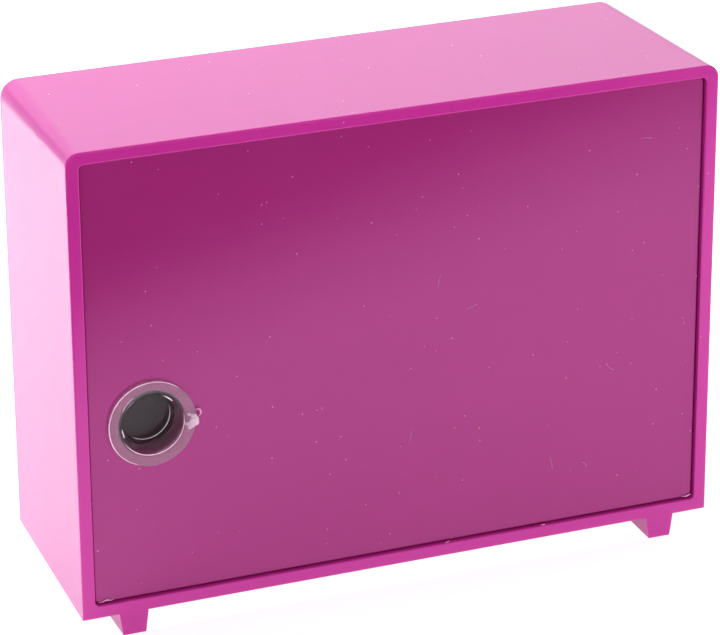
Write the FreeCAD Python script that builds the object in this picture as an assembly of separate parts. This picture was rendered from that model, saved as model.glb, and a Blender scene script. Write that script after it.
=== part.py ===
import FreeCAD, Part
import math
import os

os.makedirs("parts", exist_ok=True)

Vector = FreeCAD.Vector
tolerance = 1e-4

# A toy safe that keeps coins. Millimetres, Z up, door towards -Y, feet on Z = 0.
# A "depth" is a distance behind the flat front face; a negative depth stands out in front of it.

# Housing: one tray with its walls drafted towards the closed front, and two rails under it.
housing_width = 140.0
housing_depth = 51.0
shell_height = 101.2
rail_height = 4.8
draft_angle = 0.94
top_corner_rear = 2.8
top_corner_front = 4.3
front_edge_radius = 3.0
rim_softening = 0.4
rim_inner_softening = 0.25
side_wall = 2.7
top_wall = 2.6
bottom_wall = 2.8
front_wall = 2.8
cavity_corner = 1.0
rail_centre_x = 59.2
rail_top_width = 6.2
rail_bottom_width = 4.9
rail_front_setback = 4.0

# Rear panel, set into the rim and pegged to four posts.
panel_recess = 1.0
panel_thickness = 2.0
panel_gap = 0.2
panel_corner = 0.9
panel_softening = 0.3
hole_collar_wall = 2.0
hole_collar_depth = 1.5
post_x = 63.2
post_low_z = 11.6
post_high_z = 99.4
post_radius = 3.6
peg_radius = 1.6
peg_length = 6.0
socket_depth = 8.0
fit_gap = 0.05

# Clear stopper in the rear panel.
stopper_x = 54.0
stopper_z = 46.2
stopper_hole_radius = 7.2
stopper_body_radius = 7.1
stopper_inner_radius = 6.4
stopper_floor_radius = 5.3
stopper_flange_radius = 9.25
stopper_flange = 1.1
stopper_floor_depth = 4.9
stopper_floor = 1.1
stopper_softening = 0.4

# Door opening in the front wall, the door stop behind it, and the coin slot above it.
opening_left = -54.0
opening_right = 50.0
opening_low = 14.0
opening_high = 88.0
opening_corner = 3.0
stop_width = 2.0
stop_end_depth = 4.2
stop_foot = 3.0
slot_width = 34.0
slot_height = 5.0
slot_z = 95.5
slot_border = 3.0
slot_border_height = 0.8
slot_corner = 1.0
latch_arm_width = 5.0
latch_arm_low_z = 73.0
latch_arm_high_z = 92.0
latch_arm_near = 6.4
latch_arm_far = 9.1

# Door.
door_gap = 0.5
door_thickness = 2.4
field_margin = 5.0
field_side_margin = 3.5
field_height = 0.8
field_corner = 3.0
field_softening = 0.5
field_strap_gap = 1.4

# Hinges: two steel pins in knuckles that stand out in front of the wall.
hinge_x = -56.5
hinge_depth = -3.2
hinge_low_z = 28.0
hinge_high_z = 74.0
knuckle_radius = 2.8
door_knuckle_length = 9.0
housing_knuckle_length = 4.0
knuckle_gap = 0.3
pin_radius = 1.2
strap_end_x = -47.4
strap_end_height = 2.0
pin_head_step = 0.7
pin_head_height = 0.9
pin_floor = 0.8
pin_gap_housing = 0.01
pin_gap_door = 0.07

# Shafts that turn in the door.
shaft_radius = 3.0
shaft_bore_radius = 3.08
shaft_square = 3.4
square_hole = 3.5
screw_radius = 0.8
pilot_radius = 0.85
pilot_depth = 8.0
screw_length = 6.0
screw_hole_radius = 1.2
cross_reach = 1.5
cross_half_width = 0.3
cross_depth = 0.7
washer_radius = 5.0
washer_gap = 0.1
bearing_radius = 6.0

# Dial and the notched lock disc it turns.
dial_x = -22.0
dial_z = 51.0
dial_radius = 17.2
dial_back = -1.2
dial_front = -3.4
index_ring_outer = 21.0
index_ring_inner = 17.8
index_ring_front = -2.6
knob_radius = 9.0
knob_front = -9.9
knob_round = 0.8
knob_flutes = 18
flute_radius = 1.3
flute_offset = 0.5
dial_cap_radius = 5.5
cap_gap = 0.05
pointer_half_width = 1.6
pointer_margin = 0.8
disc_hole_radius = 5.0
disc_hole_circle = 13.5
disc_hole_count = 3
dial_bearing_end = 8.8
disc_radius = 26.0
disc_near = 9.5
disc_far = 11.9
disc_notch_width = 11.0
disc_notch_floor = 20.5
disc_clicks = 10
click_radius = 0.9

# Handle, pinion and bolt.
handle_x = 22.0
handle_z = 51.0
handle_hub_radius = 6.5
handle_back = -2.3
handle_front = -9.9
spoke_count = 3
spoke_depth = -6.2
spoke_reach = 17.0
spoke_root_radius = 2.2
spoke_tip_radius = 1.8
spoke_ball_radius = 2.7
handle_ring_outer = 9.5
handle_ring_inner = 6.9
handle_ring_front = -2.0
handle_cap_radius = 4.3
handle_bearing_end = 4.2
cap_front = -10.6
cap_thickness = 1.0
gear_module = 0.75
pinion_teeth = 12
pressure_angle = 25.0
tooth_thinning = 0.2
addendum = 0.65
dedendum = 0.85
pitch_radius = gear_module * pinion_teeth / 2
rack_pitch = math.pi * gear_module
lock_near = 4.8
lock_far = 8.6
bolt_left = 6.0
bolt_head_left = 33.0
bolt_tip = 46.5
bolt_low = 41.0
bolt_high = 51.4
bolt_ramp = 3.0
guide_start_x = 8.0
guide_end_x = 44.0
guide_thickness = 1.5
pad_height = 3.0

# Lock cover over the bolt, and its screws.
cover_left = 6.0
cover_right = 42.0
cover_low = 31.5
cover_high = 64.0
cover_corner = 3.0
cover_window_radius = 4.0
cover_near = 9.0
cover_far = 10.8
cover_boss_radius = 3.0
cover_screw_x = (10.0, 38.0)
cover_screw_z = (35.5, 60.0)
screw_head_radius = 2.4
screw_head_height = 1.3
sliding_gap = 0.3

# Click spring that rubs on the lock disc.
spring_post_x = -42.0
spring_post_z = 23.0
spring_near = 9.6
spring_far = 11.6
spring_steel = 0.4
spring_tip_z = 24.65
spring_tab_half = 3.4
spring_tab_height = 3.0
spring_tip_half = 2.4
spring_screw_length = 5.0

# Joined pieces bite into each other, and cuts run past the faces they open.
bite = 0.5
past = 1.0
small_round = 0.5

# The origin is at the middle of the overall depth, from the caps to the stopper's face.
rear_reach = stopper_flange - panel_recess
front_y = -(housing_depth + rear_reach + cap_front) / 2
spring_seat = spring_near + spring_steel
panel_outer = housing_depth - panel_recess
panel_inner = panel_outer - panel_thickness
shell_top = rail_height + shell_height


def box(x0, x1, depth0, depth1, z0, z1):
    """A block between two X, two depths and two Z."""
    corner = Vector(x0, front_y + depth0, z0)
    return Part.makeBox(x1 - x0, depth1 - depth0, z1 - z0, corner)


def rod(x, z, radius, depth0, depth1):
    """A cylinder along the depth."""
    return Part.makeCylinder(radius, depth1 - depth0, Vector(x, front_y + depth0, z), Vector(0, 1, 0))


def post(x, depth, radius, z0, z1):
    """A cylinder along Z."""
    return Part.makeCylinder(radius, z1 - z0, Vector(x, front_y + depth, z0), Vector(0, 0, 1))


def outline(depth, x0, x1, z0, z1, radii):
    """A rectangle seen from the front; radii run bottom left, bottom right, top right, top left."""
    y = front_y + depth
    corners = ((x0, z0), (x1, z0), (x1, z1), (x0, z1))
    ways = ((1, 0), (0, 1), (-1, 0), (0, -1))
    edges = []
    for i in range(4):
        x, z = corners[i]
        r = radii[i]
        arrive = ways[i - 1]
        leave = ways[i]
        end = Vector(x + leave[0] * r, y, z + leave[1] * r)
        if r > 0:
            start = Vector(x - arrive[0] * r, y, z - arrive[1] * r)
            slack = r * (1 - math.sqrt(0.5))
            middle_x = x + (leave[0] - arrive[0]) * slack
            middle_z = z + (leave[1] - arrive[1]) * slack
            edges.append(Part.Arc(start, Vector(middle_x, y, middle_z), end).toShape())
        next_x, next_z = corners[(i + 1) % 4]
        next_r = radii[(i + 1) % 4]
        side_end = Vector(next_x - leave[0] * next_r, y, next_z - leave[1] * next_r)
        edges.append(Part.makeLine(end, side_end))
    return Part.Wire(edges)


def plate(x0, x1, depth0, depth1, z0, z1, radius):
    """A flat plate with rounded corners."""
    face = Part.Face(outline(depth0, x0, x1, z0, z1, (radius,) * 4))
    return face.extrude(Vector(0, depth1 - depth0, 0))


def extruded(points, depth0, depth1):
    """A prism along the depth from (x, z) corners."""
    y = front_y + depth0
    corners = [Vector(x, y, z) for x, z in points]
    face = Part.Face(Part.makePolygon(corners + corners[:1]))
    return face.extrude(Vector(0, depth1 - depth0, 0))


def extruded_up(points, z0, z1):
    """A prism along Z from (x, depth) corners."""
    corners = [Vector(x, front_y + depth, z0) for x, depth in points]
    face = Part.Face(Part.makePolygon(corners + corners[:1]))
    return face.extrude(Vector(0, 0, z1 - z0))


def joined(first, *others):
    """One solid from overlapping solids."""
    return first.fuse(list(others)).removeSplitter()


def edges_at_depth(shape, depth):
    """The edges that lie in one plane of constant depth."""
    y = front_y + depth
    found = []
    for edge in shape.Edges:
        bounds = edge.BoundBox
        if abs(bounds.YMin - y) < tolerance and abs(bounds.YMax - y) < tolerance:
            found.append(edge)
    return found


def drafted(depth0, depth1, inset, radii0, radii1):
    """The housing's tapering block between two depths, inset by (side, bottom, top) walls."""
    side, bottom, top = inset
    wires = []
    for depth, radii in ((depth0, radii0), (depth1, radii1)):
        shrink = (housing_depth - depth) * math.tan(math.radians(draft_angle))
        half = housing_width / 2 - shrink - side
        low = rail_height + shrink + bottom
        high = shell_top - shrink - top
        wires.append(outline(depth, -half, half, low, high, radii))
    return Part.makeLoft(wires, True, True)


def mouth_edges(shell):
    """The inner edges of the rear rim."""
    half = housing_width / 2 - side_wall / 2
    low = rail_height + bottom_wall / 2
    high = shell_top - top_wall / 2
    found = []
    for edge in edges_at_depth(shell, housing_depth):
        middle = edge.valueAt((edge.FirstParameter + edge.LastParameter) / 2)
        if abs(middle.x) < half and low < middle.z < high:
            found.append(edge)
    return found


def rail(x):
    """One foot rail, narrower at the ground."""
    root_z = rail_height + bottom_wall / 2
    top = rail_top_width / 2
    low = rail_bottom_width / 2
    right_side = [(x + low, 0), (x + top, rail_height), (x + top, root_z)]
    left_side = [(x - top, root_z), (x - top, rail_height), (x - low, 0)]
    points = right_side + left_side
    return extruded(points, rail_front_setback, housing_depth)


def housing_knuckles(hinge_z):
    """The two fixed knuckles of one hinge, with their webs down to the wall."""
    half = door_knuckle_length / 2 + knuckle_gap
    pieces = []
    for z0 in (hinge_z - half - housing_knuckle_length, hinge_z + half):
        z1 = z0 + housing_knuckle_length
        pieces.append(post(hinge_x, hinge_depth, knuckle_radius, z0, z1))
        pieces.append(box(hinge_x - knuckle_radius, opening_left - bite, hinge_depth, bite, z0, z1))
    return pieces


def make_housing():
    """The tray: walls, front with its openings, door stop, latch arm, posts, rails and knuckles."""
    sharp = 0.0
    outer = drafted(
        housing_depth,
        0.0,
        (0, 0, 0),
        (sharp, sharp, top_corner_rear, top_corner_rear),
        (sharp, sharp, top_corner_front, top_corner_front),
    )
    outer = outer.makeFillet(front_edge_radius, edges_at_depth(outer, 0.0))
    outer = outer.makeFillet(rim_softening, edges_at_depth(outer, housing_depth))
    inner_radii = (cavity_corner,) * 4
    walls = (side_wall, bottom_wall, top_wall)
    cavity = drafted(housing_depth, front_wall, walls, inner_radii, inner_radii)
    shell = outer.cut(cavity)
    shell = shell.makeFillet(rim_inner_softening, mouth_edges(shell))

    stop_ring = plate(
        opening_left - stop_foot,
        opening_right + stop_foot,
        front_wall - bite,
        stop_end_depth,
        opening_low - stop_foot,
        opening_high + stop_foot,
        opening_corner,
    )
    arm_left = dial_x - latch_arm_width / 2
    arm_right = dial_x + latch_arm_width / 2
    arm = box(arm_left, arm_right, latch_arm_near, latch_arm_far, latch_arm_low_z, latch_arm_high_z)
    root_low = opening_high - stop_width / 2
    arm_root = box(arm_left, arm_right, front_wall - bite, latch_arm_far, root_low, latch_arm_high_z)
    half_slot = slot_width / 2
    border = plate(
        -half_slot - slot_border,
        half_slot + slot_border,
        -slot_border_height,
        bite,
        slot_z - slot_height / 2 - slot_border / 2,
        slot_z + slot_height / 2 + slot_border / 2,
        slot_corner + small_round,
    )
    posts = []
    for x in (-post_x, post_x):
        for z in (post_low_z, post_high_z):
            posts.append(rod(x, z, post_radius, front_wall - bite, panel_inner - fit_gap))
    rails = [rail(-rail_centre_x), rail(rail_centre_x)]
    knuckles = housing_knuckles(hinge_low_z) + housing_knuckles(hinge_high_z)
    shell = joined(shell, stop_ring, arm, arm_root, border, *posts, *rails, *knuckles)

    door_opening = plate(
        opening_left,
        opening_right,
        -past,
        front_wall,
        opening_low,
        opening_high,
        opening_corner,
    )
    stop_opening = plate(
        opening_left + stop_width,
        opening_right - stop_width,
        -past,
        stop_end_depth + past,
        opening_low + stop_width,
        opening_high - stop_width,
        opening_corner,
    )
    slot = plate(
        -half_slot,
        half_slot,
        -slot_border_height - past,
        front_wall + past,
        slot_z - slot_height / 2,
        slot_z + slot_height / 2,
        slot_corner,
    )
    shell = shell.cut([door_opening, stop_opening, slot])
    arm_neck = box(arm_left, arm_right, stop_end_depth, latch_arm_far, root_low, latch_arm_high_z)
    shell = shell.fuse([arm, arm_neck])
    cuts = []
    for x in (-post_x, post_x):
        for z in (post_low_z, post_high_z):
            cuts.append(rod(x, z, peg_radius + fit_gap, panel_inner - socket_depth, panel_inner + past))
    for z in (hinge_low_z, hinge_high_z):
        half = door_knuckle_length / 2 + knuckle_gap + housing_knuckle_length
        bore_radius = pin_radius + pin_gap_housing
        cuts.append(post(hinge_x, hinge_depth, bore_radius, z - half + pin_floor, z + half + past))
    return shell.cut(cuts).removeSplitter()


def make_rear_panel():
    """The inset rear panel with its stopper hole and four pegs."""
    shrink = (housing_depth - panel_inner) * math.tan(math.radians(draft_angle))
    half = housing_width / 2 - side_wall - shrink - panel_gap
    low = rail_height + bottom_wall + shrink + panel_gap
    high = shell_top - top_wall - shrink - panel_gap
    panel = plate(-half, half, panel_inner, panel_outer, low, high, panel_corner)
    panel = panel.makeFillet(panel_softening, edges_at_depth(panel, panel_outer))
    collar_radius = stopper_hole_radius + hole_collar_wall
    collar_near = panel_inner - hole_collar_depth
    collar = rod(stopper_x, stopper_z, collar_radius, collar_near, panel_inner + bite)
    pegs = []
    for x in (-post_x, post_x):
        for z in (post_low_z, post_high_z):
            pegs.append(rod(x, z, peg_radius, panel_inner - peg_length, panel_inner + bite))
    panel = joined(panel, collar, *pegs)
    return panel.cut(rod(stopper_x, stopper_z, stopper_hole_radius, 0, housing_depth))


def make_hinge_pins():
    """Two straight pins with small domed heads."""
    pins = []
    for z in (hinge_low_z, hinge_high_z):
        half = door_knuckle_length / 2 + knuckle_gap + housing_knuckle_length
        top = z + half + pin_head_height
        pin_top = top - pin_head_height / 2
        pin = post(hinge_x, hinge_depth, pin_radius, z - half + pin_floor, pin_top)
        head = post(hinge_x, hinge_depth, pin_radius + pin_head_step, z + half, top)
        rim = [edge for edge in head.Edges if edge.BoundBox.ZMin > top - tolerance]
        head = head.makeFillet(small_round, rim)
        pins.append(pin.fuse(head).removeSplitter())
    return Part.makeCompound(pins)


def door_strap(hinge_z):
    """One strap hinge leaf on the door, ending in its knuckle."""
    z0 = hinge_z - door_knuckle_length / 2
    z1 = hinge_z + door_knuckle_length / 2
    knuckle = post(hinge_x, hinge_depth, knuckle_radius, z0, z1)
    left = opening_left + door_gap + knuckle_gap
    points = [
        (hinge_x, hinge_depth - knuckle_radius + knuckle_gap),
        ((hinge_x + left) / 2 + knuckle_radius, hinge_depth - knuckle_gap),
        (strap_end_x, -strap_end_height),
        (strap_end_x, bite),
        (left, bite),
        (left, -bite),
        (hinge_x, -bite),
    ]
    return [knuckle, extruded_up(points, z0, z1)]


def make_door():
    """The door plate with its raised field, straps, bearings, bolt guides and screw bosses."""
    left = opening_left + door_gap
    right = opening_right - door_gap
    low = opening_low + door_gap
    high = opening_high - door_gap
    slab = plate(left, right, 0.0, door_thickness, low, high, opening_corner - door_gap)
    field = plate(
        strap_end_x + field_strap_gap,
        right - field_side_margin,
        -field_height,
        bite,
        low + field_margin,
        high - field_margin,
        field_corner,
    )
    field = field.makeFillet(field_softening, edges_at_depth(field, -field_height))
    inside = door_thickness - bite
    pieces = [field]
    pieces.append(rod(dial_x, dial_z, bearing_radius, inside, dial_bearing_end))
    pieces.append(rod(handle_x, handle_z, bearing_radius, inside, handle_bearing_end))
    pieces.append(rod(spring_post_x, spring_post_z, cover_boss_radius, inside, spring_near))
    for x in cover_screw_x:
        for z in cover_screw_z:
            pieces.append(rod(x, z, cover_boss_radius, inside, cover_near))
    pad_depth = lock_near - sliding_gap
    guide_low = bolt_low - sliding_gap
    guide_high = bolt_high + sliding_gap
    pieces.append(box(guide_start_x, bolt_head_left, inside, pad_depth, bolt_low, bolt_low + pad_height))
    pieces.append(box(bolt_head_left, guide_end_x, inside, pad_depth, bolt_low, bolt_high))
    low_edge = guide_low - guide_thickness
    high_edge = guide_high + guide_thickness
    short_start_x = bolt_head_left + past
    pieces.append(box(guide_start_x, guide_end_x, inside, lock_far, low_edge, guide_low))
    pieces.append(box(short_start_x, guide_end_x, inside, lock_far, guide_high, high_edge))
    pieces += door_strap(hinge_low_z) + door_strap(hinge_high_z)
    door = joined(slab, *pieces)
    cuts = []
    for x, z in ((dial_x, dial_z), (handle_x, handle_z)):
        cuts.append(rod(x, z, shaft_bore_radius, -field_height - past, disc_near))
    pilot_start = door_thickness + past
    cuts.append(rod(spring_post_x, spring_post_z, pilot_radius, pilot_start, spring_near + past))
    for x in cover_screw_x:
        for z in cover_screw_z:
            cuts.append(rod(x, z, pilot_radius, door_thickness + past, cover_near + past))
    for z in (hinge_low_z, hinge_high_z):
        bore_radius = pin_radius + pin_gap_door
        reach = door_knuckle_length
        cuts.append(post(hinge_x, hinge_depth, bore_radius, z - reach, z + reach))
    return door.cut(cuts)


def make_screw(x, z, seat, length):
    """A pan head screw that points towards the front, its head resting at the seat depth."""
    head = rod(x, z, screw_head_radius, seat, seat + screw_head_height)
    head = head.makeFillet(small_round, edges_at_depth(head, seat + screw_head_height))
    shank = rod(x, z, screw_radius, seat - length, seat + bite)
    screw = joined(head, shank)
    floor = seat + screw_head_height - cross_depth
    end = seat + screw_head_height + past
    reach = cross_reach
    half = cross_half_width
    across = box(x - reach, x + reach, floor, end, z - half, z + half)
    upright = box(x - half, x + half, floor, end, z - reach, z + reach)
    return screw.cut([across, upright])


def make_cover_screws():
    """The four screws of the lock cover."""
    screws = []
    for x in cover_screw_x:
        for z in cover_screw_z:
            screws.append(make_screw(x, z, cover_far, screw_length))
    return Part.makeCompound(screws)


def make_lock_cover():
    """The plate that keeps the bolt and pinion in place."""
    cover = plate(cover_left, cover_right, cover_near, cover_far, cover_low, cover_high, cover_corner)
    cuts = [rod(handle_x, handle_z, cover_window_radius, 0, housing_depth)]
    for x in cover_screw_x:
        for z in cover_screw_z:
            cuts.append(rod(x, z, screw_hole_radius, 0, housing_depth))
    return cover.cut(cuts)


def make_index_ring():
    """The fixed ring round the dial, with a pointer at the top."""
    outer = rod(dial_x, dial_z, index_ring_outer, index_ring_front, -field_height)
    outer = outer.makeFillet(small_round, edges_at_depth(outer, index_ring_front))
    ring = outer.cut(rod(dial_x, dial_z, index_ring_inner, dial_front - past, 0.0))
    base_z = dial_z + index_ring_outer - pointer_margin
    tip_z = dial_z + index_ring_inner + pointer_margin / 4
    left = dial_x - pointer_half_width
    right = dial_x + pointer_half_width
    corners = [(left, base_z), (dial_x, tip_z), (right, base_z)]
    pointer = extruded(corners, dial_front, index_ring_front + bite)
    return joined(ring, pointer)


def make_handle_ring():
    """The small fixed ring round the handle's hub."""
    outer = rod(handle_x, handle_z, handle_ring_outer, handle_ring_front, -field_height)
    outer = outer.makeFillet(small_round, edges_at_depth(outer, handle_ring_front))
    return outer.cut(rod(handle_x, handle_z, handle_ring_inner, handle_ring_front - past, 0.0))


def square_shaft(x, z, round_start, square_start, square_end):
    """A round shaft with a square end that has a pilot hole for a screw."""
    half = shaft_square / 2
    body = rod(x, z, shaft_radius, round_start, square_start)
    square = box(x - half, x + half, square_start - bite, square_end, z - half, z + half)
    return joined(body, square)


def make_dial():
    """The dial plate, its fluted knob and its shaft."""
    face = rod(dial_x, dial_z, dial_radius, dial_front, dial_back)
    face = face.makeFillet(small_round, edges_at_depth(face, dial_front))
    knob = rod(dial_x, dial_z, knob_radius, knob_front, dial_front + bite)
    knob = knob.makeFillet(knob_round, edges_at_depth(knob, knob_front))
    flutes = []
    for i in range(knob_flutes):
        angle = 2 * math.pi * i / knob_flutes
        x = dial_x + (knob_radius + flute_offset) * math.cos(angle)
        z = dial_z + (knob_radius + flute_offset) * math.sin(angle)
        flutes.append(rod(x, z, flute_radius, knob_front - past, dial_front))
    knob = knob.cut(flutes)
    recess = rod(dial_x, dial_z, dial_cap_radius + cap_gap, knob_front - past, cap_front + cap_thickness)
    shaft = square_shaft(dial_x, dial_z, dial_back - bite, disc_near, disc_far)
    dial = joined(face, knob, shaft)
    pilot = rod(dial_x, dial_z, pilot_radius, disc_far - pilot_depth, disc_far + past)
    return dial.cut([recess, pilot])


def make_cap(x, z, radius):
    """A thin disc let into the end of a knob."""
    cap = rod(x, z, radius, cap_front, cap_front + cap_thickness)
    return cap.makeFillet(small_round / 2, edges_at_depth(cap, cap_front))


def make_washer(x, z, depth0, depth1):
    """A flat washer on a shaft."""
    washer = rod(x, z, washer_radius, depth0, depth1)
    return washer.cut(rod(x, z, shaft_bore_radius, depth0 - past, depth1 + past))


def make_lock_disc():
    """The lock disc: one deep notch that lets the latch arm through, and shallow clicks round the rim."""
    disc = rod(dial_x, dial_z, disc_radius, disc_near, disc_far)
    half = square_hole / 2
    cuts = [box(dial_x - half, dial_x + half, 0, housing_depth, dial_z - half, dial_z + half)]
    notch = disc_notch_width / 2
    notch_low = dial_z + disc_notch_floor
    notch_high = dial_z + disc_radius + past
    cuts.append(box(dial_x - notch, dial_x + notch, 0, housing_depth, notch_low, notch_high))
    for i in range(1, disc_clicks):
        angle = math.pi / 2 + 2 * math.pi * i / disc_clicks
        x = dial_x + disc_radius * math.cos(angle)
        z = dial_z + disc_radius * math.sin(angle)
        cuts.append(rod(x, z, click_radius, 0, housing_depth))
    for i in range(disc_hole_count):
        angle = -math.pi / 2 + 2 * math.pi * i / disc_hole_count
        x = dial_x + disc_hole_circle * math.cos(angle)
        z = dial_z + disc_hole_circle * math.sin(angle)
        cuts.append(rod(x, z, disc_hole_radius, 0, housing_depth))
    return disc.cut(cuts)


def make_click_spring():
    """A bent strip of spring steel, screwed to its post, with its tip just off the disc's rim."""
    left = spring_post_x - spring_tab_half
    right = spring_post_x + spring_tab_half
    tab_low = spring_post_z - spring_tab_height
    tab_high = spring_post_z + spring_tab_height
    tab = box(left, right, spring_near, spring_seat, tab_low, tab_high)
    start = right - spring_steel
    low = spring_post_z - spring_steel
    top = spring_post_z
    points = [
        (start, top),
        (dial_x - spring_tip_half, top),
        (dial_x, spring_tip_z),
        (dial_x + spring_tip_half, top),
        (dial_x + spring_tip_half, low),
        (dial_x, spring_tip_z - spring_steel * math.sqrt(2)),
        (dial_x - spring_tip_half, low),
        (start, low),
    ]
    strip = extruded(points, spring_near, spring_far)
    return joined(tab, strip).cut(rod(spring_post_x, spring_post_z, screw_hole_radius, 0, housing_depth))


def make_handle():
    """The handle: hub, three spokes with round ends, and the shaft."""
    hub = rod(handle_x, handle_z, handle_hub_radius, handle_front, handle_back)
    hub = hub.makeFillet(knob_round, edges_at_depth(hub, handle_front))
    pieces = []
    start = handle_hub_radius / 2
    for i in range(spoke_count):
        angle = math.pi / 2 + 2 * math.pi * i / spoke_count
        way = Vector(math.cos(angle), 0, math.sin(angle))
        middle = Vector(handle_x, front_y + spoke_depth, handle_z)
        length = spoke_reach - start
        root = middle + way * start
        pieces.append(Part.makeCone(spoke_root_radius, spoke_tip_radius, length, root, way))
        pieces.append(Part.makeSphere(spoke_ball_radius, middle + way * spoke_reach))
    pieces.append(square_shaft(handle_x, handle_z, handle_back - bite, lock_near, lock_far))
    handle = joined(hub, *pieces)
    recess_radius = handle_cap_radius + cap_gap
    recess = rod(handle_x, handle_z, recess_radius, handle_front - past, cap_front + cap_thickness)
    pilot = rod(handle_x, handle_z, pilot_radius, lock_far - pilot_depth, lock_far + past)
    return handle.cut([recess, pilot])


def involute(base_radius, radius):
    """How far round an involute has turned when it reaches this radius."""
    if radius <= base_radius:
        return 0.0
    pressure = math.acos(base_radius / radius)
    return math.tan(pressure) - pressure


def make_pinion():
    """A spur pinion with involute teeth; one tooth points straight down into the rack."""
    pressure = math.radians(pressure_angle)
    base_radius = pitch_radius * math.cos(pressure)
    tip_radius = pitch_radius + addendum
    root_radius = pitch_radius - dedendum
    half_width = (rack_pitch / 2 - tooth_thinning) / 2
    half_tooth = half_width / pitch_radius + involute(base_radius, pitch_radius)
    middle = Vector(handle_x, front_y + lock_near, handle_z)

    def on(radius, angle):
        return middle + Vector(radius * math.cos(angle), 0, radius * math.sin(angle))

    steps = 5
    flank = [base_radius + (tip_radius - base_radius) * i / steps for i in range(steps + 1)]
    edges = []
    pitch_angle = 2 * math.pi / pinion_teeth
    for i in range(pinion_teeth):
        centre = -math.pi / 2 + pitch_angle * i
        rise = [on(r, centre - half_tooth + involute(base_radius, r)) for r in flank]
        fall = [on(r, centre + half_tooth - involute(base_radius, r)) for r in reversed(flank)]
        root_start = on(root_radius, centre - half_tooth)
        root_end = on(root_radius, centre + half_tooth)
        next_root = on(root_radius, centre + pitch_angle - half_tooth)
        edges.append(Part.makeLine(root_start, rise[0]))
        rising = Part.BSplineCurve()
        rising.interpolate(rise)
        edges.append(rising.toShape())
        edges.append(Part.Arc(rise[-1], on(tip_radius, centre), fall[0]).toShape())
        falling = Part.BSplineCurve()
        falling.interpolate(fall)
        edges.append(falling.toShape())
        edges.append(Part.makeLine(fall[-1], root_end))
        edges.append(Part.Arc(root_end, on(root_radius, centre + pitch_angle / 2), next_root).toShape())
    gear = Part.Face(Part.Wire(edges)).extrude(Vector(0, lock_far - lock_near, 0))
    half = square_hole / 2
    hole = box(handle_x - half, handle_x + half, 0, housing_depth, handle_z - half, handle_z + half)
    return gear.cut(hole)


def make_bolt():
    """The bolt: a bar with rack teeth, and a head with a ramp on its rear side."""
    pitch_z = handle_z - pitch_radius
    root_z = pitch_z - dedendum
    bar = box(bolt_left, bolt_head_left + past, lock_near, lock_far, bolt_low, root_z)
    head_points = [
        (bolt_head_left, lock_near),
        (bolt_tip, lock_near),
        (bolt_tip, lock_far - bolt_ramp),
        (bolt_tip - bolt_ramp, lock_far),
        (bolt_head_left, lock_far),
    ]
    head = extruded_up(head_points, bolt_low, bolt_high)
    slope = math.tan(math.radians(pressure_angle))
    half = (rack_pitch / 2 - tooth_thinning) / 2
    foot = half + dedendum * slope
    crest = half - addendum * slope
    teeth = []
    for i in range(-5, 2):
        x = handle_x + (i + 0.5) * rack_pitch
        points = [
            (x - foot, root_z - bite),
            (x + foot, root_z - bite),
            (x + foot, root_z),
            (x + crest, pitch_z + addendum),
            (x - crest, pitch_z + addendum),
            (x - foot, root_z),
        ]
        teeth.append(extruded(points, lock_near, lock_far))
    return joined(bar, head, *teeth)


def make_stopper():
    """A hollow push-in stopper: a flange, a cup that narrows inside and a thin floor."""
    flange = rod(stopper_x, stopper_z, stopper_flange_radius, panel_outer, panel_outer + stopper_flange)
    flange = flange.makeFillet(stopper_softening, edges_at_depth(flange, panel_outer + stopper_flange))
    cup_end = panel_outer + stopper_flange - stopper_floor_depth - stopper_floor
    body = rod(stopper_x, stopper_z, stopper_body_radius, cup_end, panel_outer + bite)
    body = body.makeFillet(small_round, edges_at_depth(body, cup_end))
    stopper = joined(flange, body)
    floor_top = cup_end + stopper_floor
    floor_middle = Vector(stopper_x, front_y + floor_top, stopper_z)
    outward = Vector(0, 1, 0)
    hollow = Part.makeCone(
        stopper_floor_radius, stopper_inner_radius, stopper_floor_depth, floor_middle, outward
    )
    stopper = stopper.cut(hollow)
    rims = edges_at_depth(stopper, panel_outer + stopper_flange)
    lip = [edge for edge in rims if edge.Length < 2 * math.pi * stopper_body_radius]
    return stopper.makeFillet(stopper_softening, lip)


nodes = {
    "housing_shell": make_housing(),
    "rear_panel": make_rear_panel(),
    "hinge_pins": make_hinge_pins(),
    "door_panel": make_door(),
    "lock_cover": make_lock_cover(),
    "cover_screws": make_cover_screws(),
    "index_ring": make_index_ring(),
    "handle_ring": make_handle_ring(),
    "click_spring": make_click_spring(),
    "spring_screw": make_screw(spring_post_x, spring_post_z, spring_seat, spring_screw_length),
    "dial": make_dial(),
    "dial_cap": make_cap(dial_x, dial_z, dial_cap_radius),
    "dial_washer": make_washer(dial_x, dial_z, dial_bearing_end + washer_gap, disc_near),
    "lock_disc": make_lock_disc(),
    "disc_screw": make_screw(dial_x, dial_z, disc_far, screw_length),
    "handle": make_handle(),
    "handle_cap": make_cap(handle_x, handle_z, handle_cap_radius),
    "handle_washer": make_washer(handle_x, handle_z, handle_bearing_end + washer_gap, lock_near),
    "pinion": make_pinion(),
    "pinion_screw": make_screw(handle_x, handle_z, lock_far, screw_length),
    "bolt": make_bolt(),
    "stopper": make_stopper(),
}

for node, shape in nodes.items():
    shape.exportStep("parts/" + node + ".step")
    bounds = shape.BoundBox
    print(node, len(shape.Solids), "solids", shape.isValid(), round(shape.Volume / 1000, 2), "cm3")
    print("   X", round(bounds.XMin, 2), round(bounds.XMax, 2))
    print("   Y", round(bounds.YMin, 2), round(bounds.YMax, 2))
    print("   Z", round(bounds.ZMin, 2), round(bounds.ZMax, 2))
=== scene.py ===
# %% [markdown]
# # A toy safe that keeps coins
# This lesson dresses a finished mechanical model. The shapes come from a frame that is already
# measured, so the work here is surface: what each plastic and metal is, how it was made, and
# what that gives the eye. Small things that a moulding shop would call faults are modelled too,
# because they are what makes a cheap moulded toy look real.

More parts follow.
